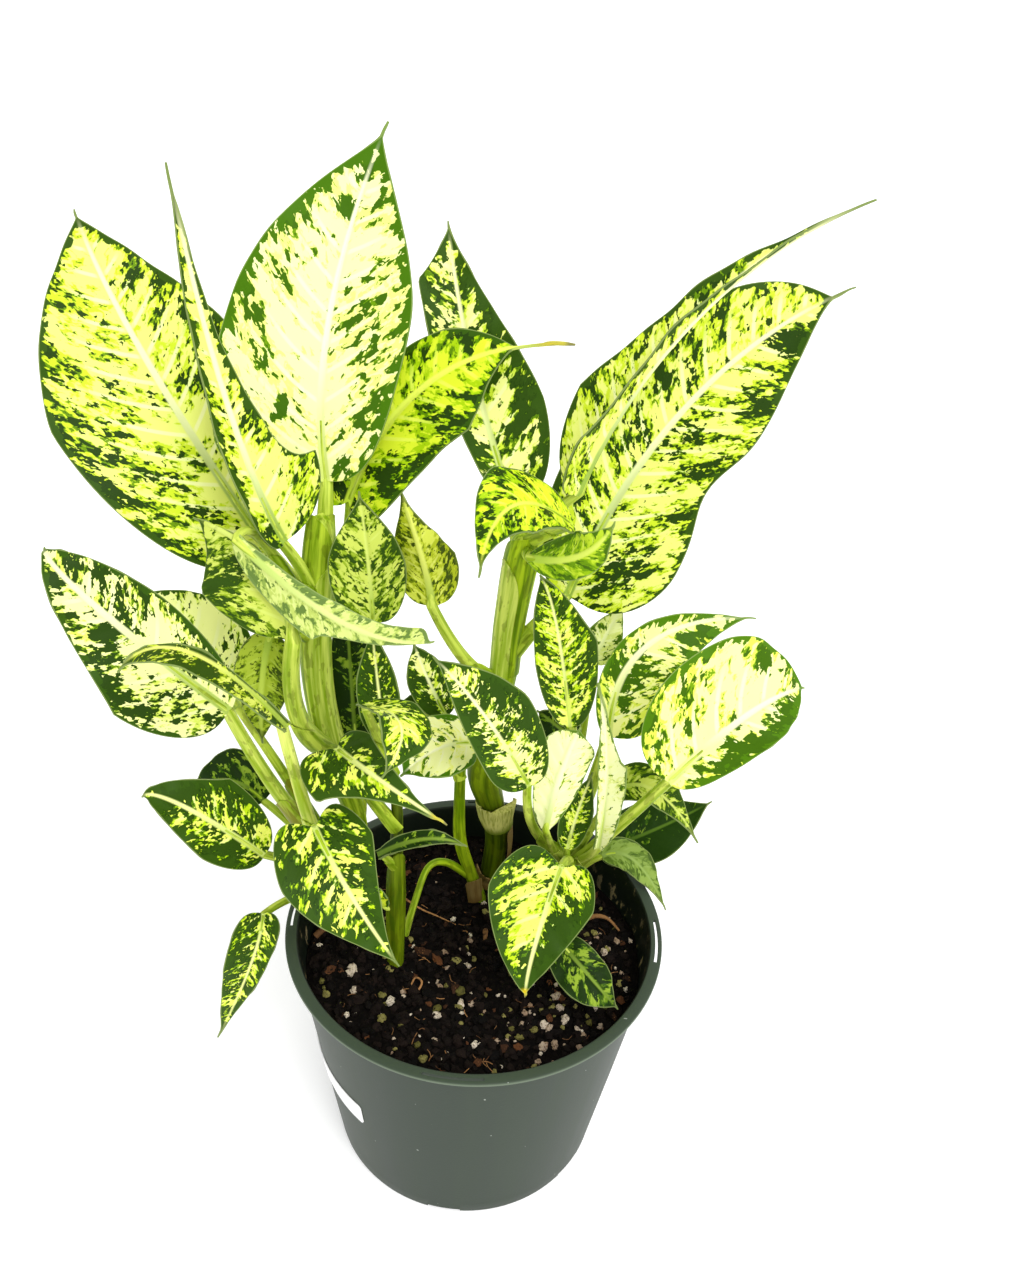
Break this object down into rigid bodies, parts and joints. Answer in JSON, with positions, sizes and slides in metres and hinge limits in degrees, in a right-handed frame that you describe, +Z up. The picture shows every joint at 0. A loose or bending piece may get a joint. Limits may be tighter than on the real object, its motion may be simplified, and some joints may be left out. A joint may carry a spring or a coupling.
{
  "type": "potted dieffenbachia",
  "caption": "Bushy young dieffenbachia with waved, variegated leaves on upright canes, growing in dark potting soil in a round tapered nursery pot with a flat flange.",
  "frame": {"origin": "middle of the pot's flat base, on the surface that the pot stands on", "axes": "+Z up along the pot's axis, +X to the plant's right and -Y to its front as seen by a viewer"},
  "size_m": [0.2997, 0.1696, 0.4406],
  "materials": {
    "pot": "satin dark green moulded plastic with a soft sheen and a few pale specks",
    "label": "smooth blank white film",
    "soil": "damp dark peat with white perlite grains and tan bark",
    "stem": "smooth waxy green, streaked paler and darker along its length",
    "leaf": "soft waxy sheen, cream to lime with dark green blotches and a dark green margin"
  },
  "bodies": {
    "root": {"pot": "pot", "label": "label", "soil": "soil", "shoot_left": "stem", "shoot_basal": "stem", "shoot_centre": "stem", "shoot_thin": "stem", "shoot_front": "stem", "shoot_right": "stem", "leaf_01": "leaf", "leaf_02": "leaf", "leaf_03": "leaf", "leaf_04": "leaf", "leaf_05": "leaf", "leaf_06": "leaf", "leaf_07": "leaf", "leaf_08": "leaf", "leaf_09": "leaf", "leaf_10": "leaf", "leaf_11": "leaf", "leaf_12": "leaf", "leaf_13": "leaf", "leaf_14": "leaf", "leaf_15": "leaf", "leaf_16": "leaf", "leaf_17": "leaf", "leaf_20": "leaf", "leaf_21": "leaf", "leaf_22": "leaf", "leaf_23": "leaf", "leaf_24": "leaf", "leaf_31": "leaf", "leaf_32": "leaf", "leaf_33": "leaf", "leaf_34": "leaf", "leaf_35": "leaf", "leaf_36": "leaf", "leaf_37": "leaf", "leaf_38": "leaf", "leaf_39": "leaf", "leaf_40": "leaf", "leaf_41": "leaf", "leaf_42": "leaf", "leaf_43": "leaf", "leaf_44": "leaf", "leaf_45": "leaf", "leaf_46": "leaf", "leaf_48": "leaf", "leaf_49": "leaf", "leaf_50": "leaf", "leaf_51": "leaf", "leaf_52": "leaf", "bract": "leaf"}
  },
  "joints": []
}
